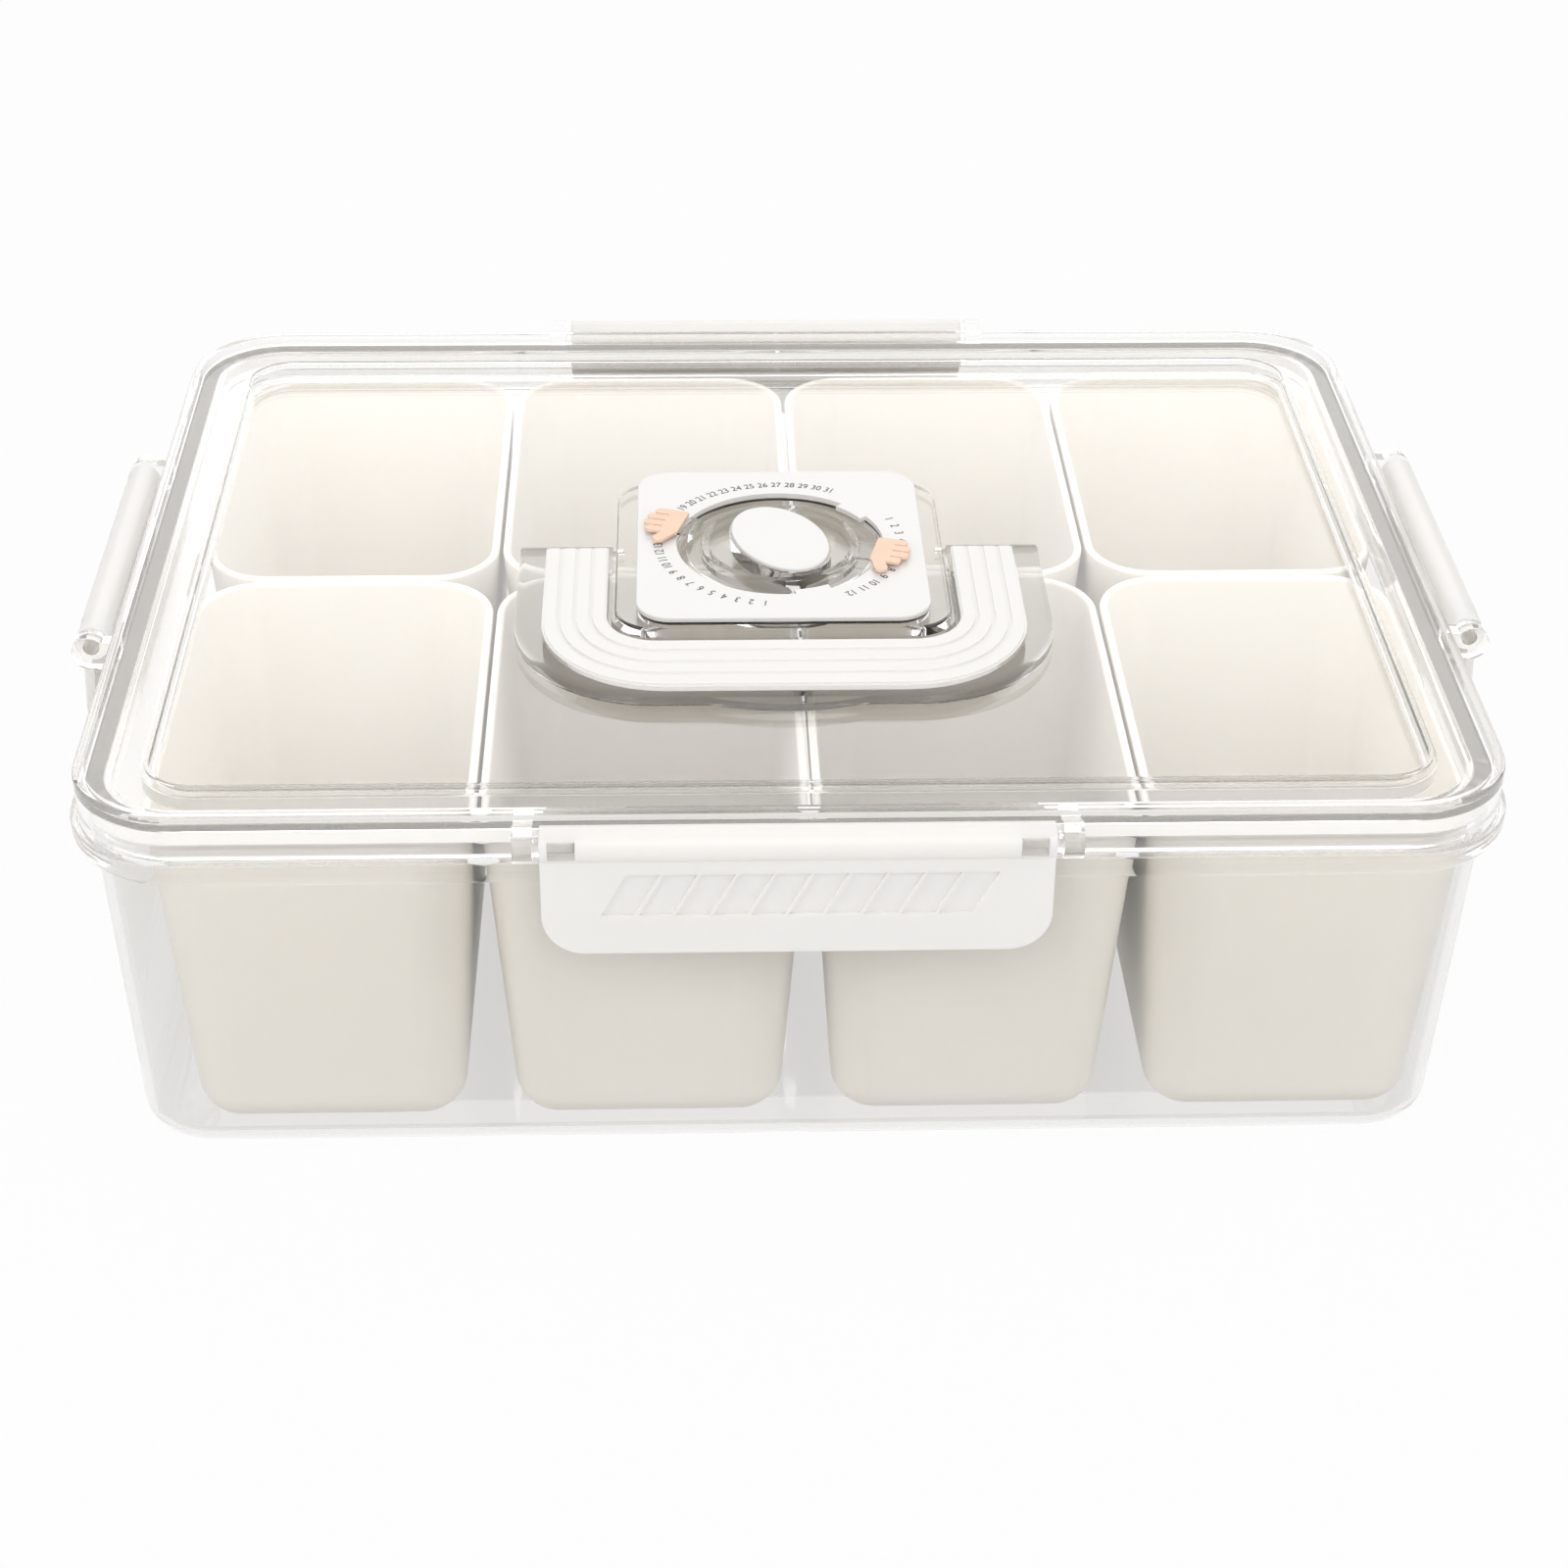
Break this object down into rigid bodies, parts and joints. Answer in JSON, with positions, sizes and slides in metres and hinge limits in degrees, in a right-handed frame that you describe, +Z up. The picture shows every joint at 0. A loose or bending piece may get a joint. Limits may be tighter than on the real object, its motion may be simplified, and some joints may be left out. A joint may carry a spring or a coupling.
{
  "type": "divided snack box",
  "caption": "Clear lidded snack box with loose cups inside, snap latches on every side, a folding carry handle and a two-pointer date dial on the lid.",
  "frame": {"origin": "on the underside, at the middle of the outline", "axes": "+Z up, X along the long side, -Y towards the front, where the handle folds"},
  "size_m": [0.3388, 0.2648, 0.101],
  "materials": {
    "clear_tub": "clear moulded plastic",
    "clear_lid": "clear moulded plastic",
    "clear_handle": "clear moulded plastic",
    "clear_dial": "clear moulded plastic",
    "seal": "matt silicone",
    "latch_white": "satin",
    "white_grip": "satin",
    "dial_white": "satin",
    "hand_peach": "matt print",
    "cup_white": "satin"
  },
  "bodies": {
    "tub": {"base_tub": "clear_tub"},
    "lid": {"lid_cover": "clear_lid", "lid_seal": "seal", "dial_plate": "dial_white"},
    "latch_front_body": {"latch_front": "latch_white"},
    "latch_back_body": {"latch_back": "latch_white"},
    "latch_left_body": {"latch_left": "latch_white"},
    "latch_right_body": {"latch_right": "latch_white"},
    "handle": {"handle_frame": "clear_handle", "handle_grip": "white_grip"},
    "day_dial": {"day_ring": "clear_dial", "day_hand": "hand_peach"},
    "month_dial": {"month_knob": "clear_dial", "dial_badge": "dial_white", "month_hand": "hand_peach"},
    "cup_front_1_body": {"cup_front_1": "cup_white"},
    "cup_front_2_body": {"cup_front_2": "cup_white"},
    "cup_front_3_body": {"cup_front_3": "cup_white"},
    "cup_front_4_body": {"cup_front_4": "cup_white"},
    "cup_back_1_body": {"cup_back_1": "cup_white"},
    "cup_back_2_body": {"cup_back_2": "cup_white"},
    "cup_back_3_body": {"cup_back_3": "cup_white"},
    "cup_back_4_body": {"cup_back_4": "cup_white"}
  },
  "joints": [
    {"name": "lid_lift", "type": "slide", "parent": "tub", "child": "lid", "axis": [0, 0, 1], "range_m": [0, 0.23]},
    {"name": "latch_front_hinge", "type": "hinge", "parent": "lid", "child": "latch_front_body", "pos_m": [0, -0.1282, 0.0955], "axis": [-1, 0, 0], "range_deg": [-3.7, 110]},
    {"name": "latch_back_hinge", "type": "hinge", "parent": "lid", "child": "latch_back_body", "pos_m": [0, 0.1282, 0.0955], "axis": [1, 0, 0], "range_deg": [-3.7, 110]},
    {"name": "latch_left_hinge", "type": "hinge", "parent": "lid", "child": "latch_left_body", "pos_m": [-0.1652, 0, 0.0955], "axis": [0, 1, 0], "range_deg": [-3.7, 110]},
    {"name": "latch_right_hinge", "type": "hinge", "parent": "lid", "child": "latch_right_body", "pos_m": [0.1652, 0, 0.0955], "axis": [0, -1, 0], "range_deg": [-3.7, 110]},
    {"name": "handle_fold", "type": "hinge", "parent": "lid", "child": "handle", "pos_m": [0, 0, 0.0947], "axis": [-1, 0, 0], "range_deg": [0, 90]},
    {"name": "day_turn", "type": "hinge", "parent": "lid", "child": "day_dial", "pos_m": [0, -0.002, 0.097], "axis": [0, 0, 1], "range_deg": [-98.9, 98.9]},
    {"name": "month_turn", "type": "hinge", "parent": "lid", "child": "month_dial", "pos_m": [0, -0.002, 0.097], "axis": [0, 0, 1], "range_deg": [-43.6, 36.4]},
    {"name": "cup_front_1_lift", "type": "slide", "parent": "tub", "child": "cup_front_1_body", "axis": [0, 0, 1], "range_m": [0, 0.116]},
    {"name": "cup_front_2_lift", "type": "slide", "parent": "tub", "child": "cup_front_2_body", "axis": [0, 0, 1], "range_m": [0, 0.116]},
    {"name": "cup_front_3_lift", "type": "slide", "parent": "tub", "child": "cup_front_3_body", "axis": [0, 0, 1], "range_m": [0, 0.116]},
    {"name": "cup_front_4_lift", "type": "slide", "parent": "tub", "child": "cup_front_4_body", "axis": [0, 0, 1], "range_m": [0, 0.116]},
    {"name": "cup_back_1_lift", "type": "slide", "parent": "tub", "child": "cup_back_1_body", "axis": [0, 0, 1], "range_m": [0, 0.116]},
    {"name": "cup_back_2_lift", "type": "slide", "parent": "tub", "child": "cup_back_2_body", "axis": [0, 0, 1], "range_m": [0, 0.116]},
    {"name": "cup_back_3_lift", "type": "slide", "parent": "tub", "child": "cup_back_3_body", "axis": [0, 0, 1], "range_m": [0, 0.116]},
    {"name": "cup_back_4_lift", "type": "slide", "parent": "tub", "child": "cup_back_4_body", "axis": [0, 0, 1], "range_m": [0, 0.116]}
  ],
  "couplings": [
    {"joint": "cup_front_1_lift", "follows": "lid_lift", "ratio": 0.5},
    {"joint": "cup_front_2_lift", "follows": "lid_lift", "ratio": 0.5},
    {"joint": "cup_front_3_lift", "follows": "lid_lift", "ratio": 0.5},
    {"joint": "cup_front_4_lift", "follows": "lid_lift", "ratio": 0.5},
    {"joint": "cup_back_1_lift", "follows": "lid_lift", "ratio": 0.5},
    {"joint": "cup_back_2_lift", "follows": "lid_lift", "ratio": 0.5},
    {"joint": "cup_back_3_lift", "follows": "lid_lift", "ratio": 0.5},
    {"joint": "cup_back_4_lift", "follows": "lid_lift", "ratio": 0.5}
  ]
}
